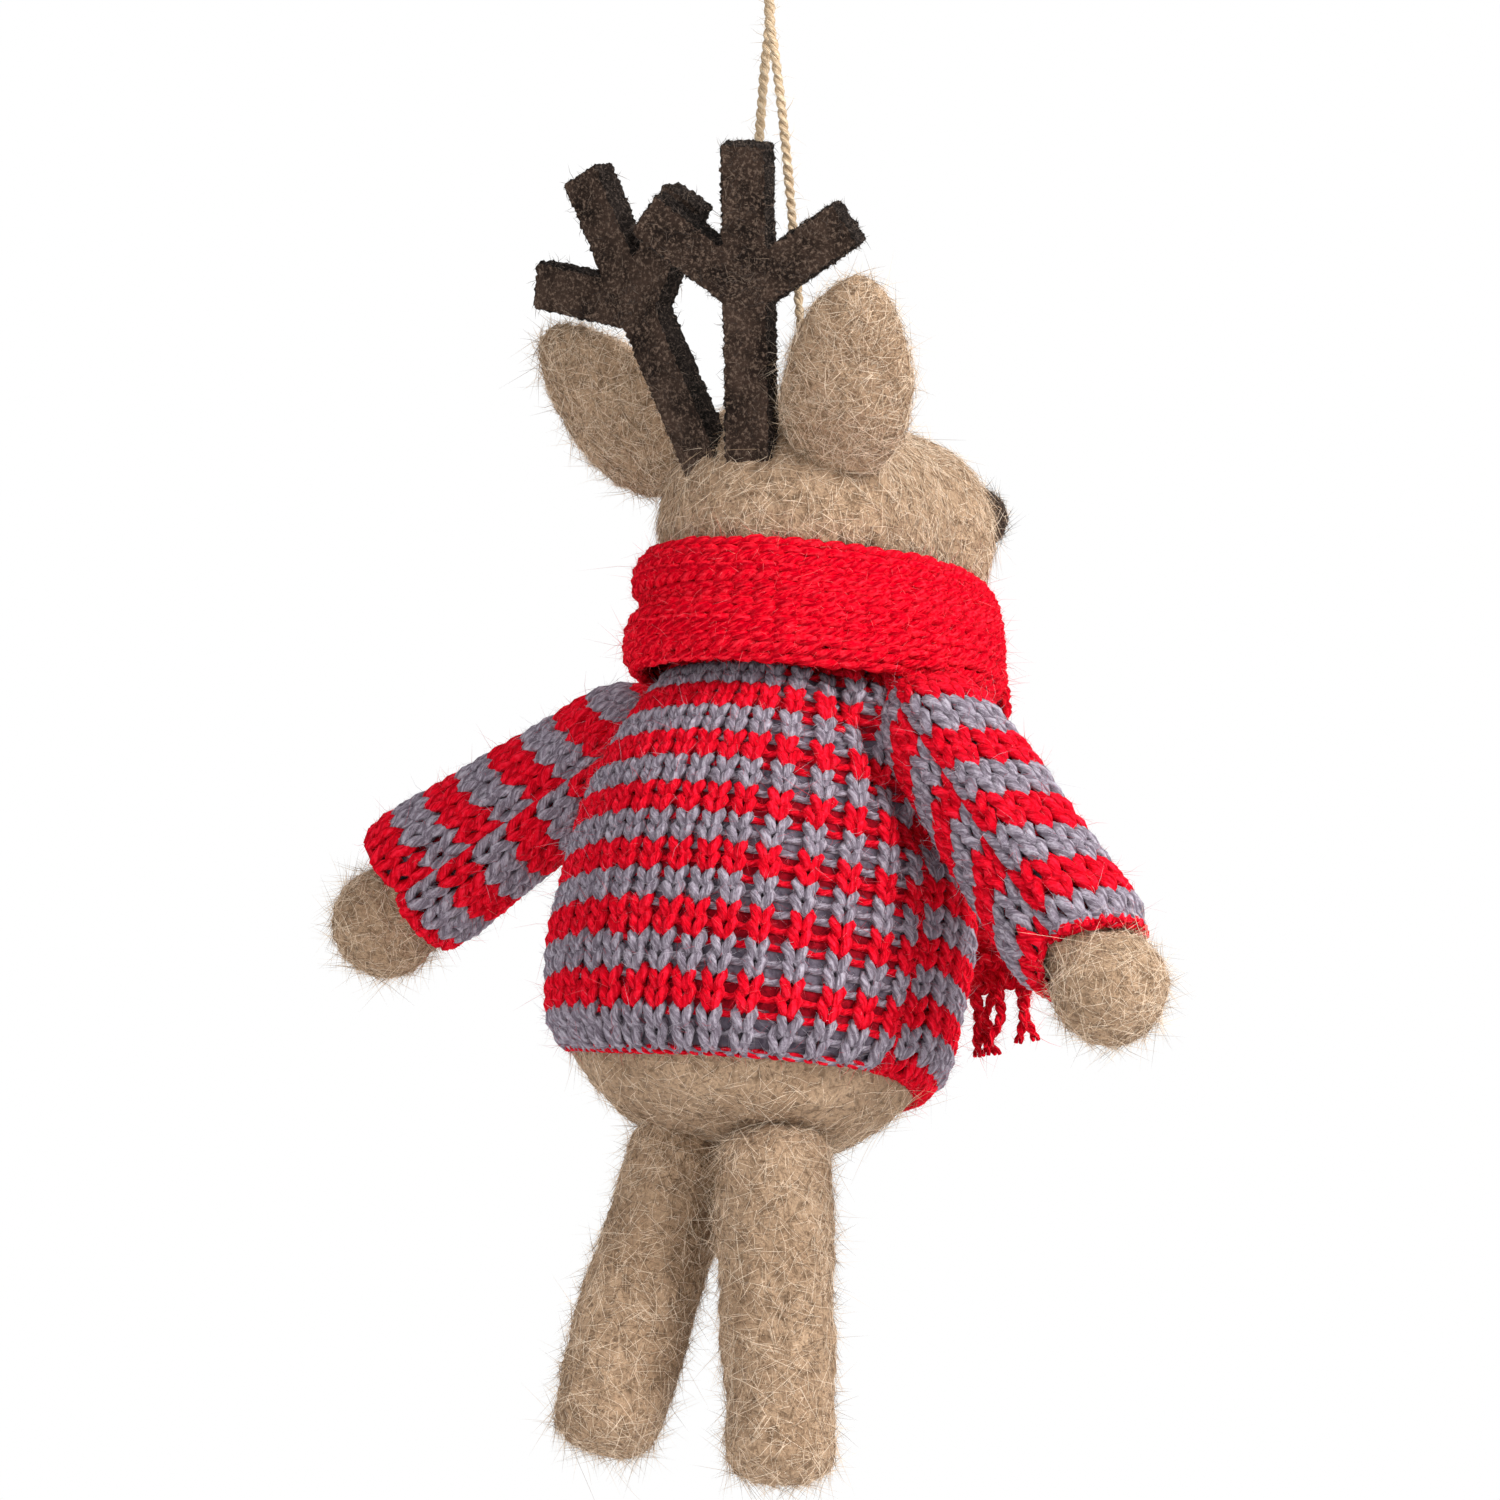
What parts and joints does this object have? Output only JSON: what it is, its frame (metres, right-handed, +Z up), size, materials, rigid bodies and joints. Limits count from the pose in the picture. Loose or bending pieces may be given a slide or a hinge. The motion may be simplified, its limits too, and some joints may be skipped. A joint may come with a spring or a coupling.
{
  "type": "hanging knitted reindeer ornament",
  "caption": "Stuffed wool reindeer with flat felt antlers, a striped knitted sweater with sleeves and a fringed scarf, hung on a twine loop and free to swing at arms and legs.",
  "frame": {"origin": "underside of the twine loop's top bend, where a hook bears", "axes": "+Z up along the hanging direction, -Y the way the face looks, +X the reindeer's own left"},
  "size_m": [0.107, 0.061, 0.163],
  "materials": {
    "wool": "felted taupe wool with loose pale fibres",
    "stuffing": "loose fibre filling",
    "felt": "stiff dark brown pressed felt, cut edges rough",
    "striped_yarn": "red and lilac-grey striped stocking stitch",
    "red_yarn": "bright red knit, slightly fuzzy",
    "twine": "two-strand jute twine",
    "bead": "polished black bead"
  },
  "bodies": {
    "hanging_loop": {"hanging_loop": "twine"},
    "figure": {"loop_knot": "twine", "head_skin": "wool", "head_stuffing": "stuffing", "nose": "felt", "left_eye": "bead", "right_eye": "bead", "left_ear": "wool", "right_ear": "wool", "left_antler": "felt", "right_antler": "felt", "torso_skin": "wool", "torso_stuffing": "stuffing", "sweater_front": "striped_yarn", "sweater_back": "striped_yarn", "scarf_wrap": "red_yarn", "scarf_lap": "red_yarn"},
    "left_arm": {"left_arm_skin": "wool", "left_arm_stuffing": "stuffing", "left_sleeve": "striped_yarn"},
    "left_leg": {"left_leg_skin": "wool", "left_leg_stuffing": "stuffing"},
    "scarf_end_left": {"scarf_tail_left": "red_yarn", "scarf_fringe_left": "red_yarn"},
    "right_arm": {"right_arm_skin": "wool", "right_arm_stuffing": "stuffing", "right_sleeve": "striped_yarn"},
    "right_leg": {"right_leg_skin": "wool", "right_leg_stuffing": "stuffing"},
    "scarf_end_right": {"scarf_tail_right": "red_yarn", "scarf_fringe_right": "red_yarn"}
  },
  "joints": [
    {"name": "loop_swing", "type": "hinge", "parent": "hanging_loop", "child": "figure", "pos_m": [0, -0.0015, -0.0476], "axis": [1, 0, 0], "range_deg": [-35, 25]},
    {"name": "left_arm_swing", "type": "hinge", "parent": "figure", "child": "left_arm", "pos_m": [0.02014, -0.00288, -0.08413], "axis": [1, 0, 0], "range_deg": [-45, 45], "stiffness_Nm_per_rad": 0.0015},
    {"name": "left_leg_swing", "type": "hinge", "parent": "figure", "child": "left_leg", "pos_m": [0.0074, 0.00878, -0.12842], "axis": [1, 0, 0], "range_deg": [-40, 40], "stiffness_Nm_per_rad": 0.0015},
    {"name": "scarf_end_left_swing", "type": "hinge", "parent": "figure", "child": "scarf_end_left", "pos_m": [0.0093, -0.02721, -0.08281], "axis": [1, 0, 0], "range_deg": [-65, 4]},
    {"name": "right_arm_swing", "type": "hinge", "parent": "figure", "child": "right_arm", "pos_m": [-0.02014, -0.00288, -0.08413], "axis": [1, 0, 0], "range_deg": [-45, 45], "stiffness_Nm_per_rad": 0.0015},
    {"name": "right_leg_swing", "type": "hinge", "parent": "figure", "child": "right_leg", "pos_m": [-0.0074, 0.00878, -0.12842], "axis": [1, 0, 0], "range_deg": [-40, 40], "stiffness_Nm_per_rad": 0.0015},
    {"name": "scarf_end_right_swing", "type": "hinge", "parent": "figure", "child": "scarf_end_right", "pos_m": [-0.00412, -0.02942, -0.08304], "axis": [1, 0, 0], "range_deg": [-65, 4]}
  ]
}
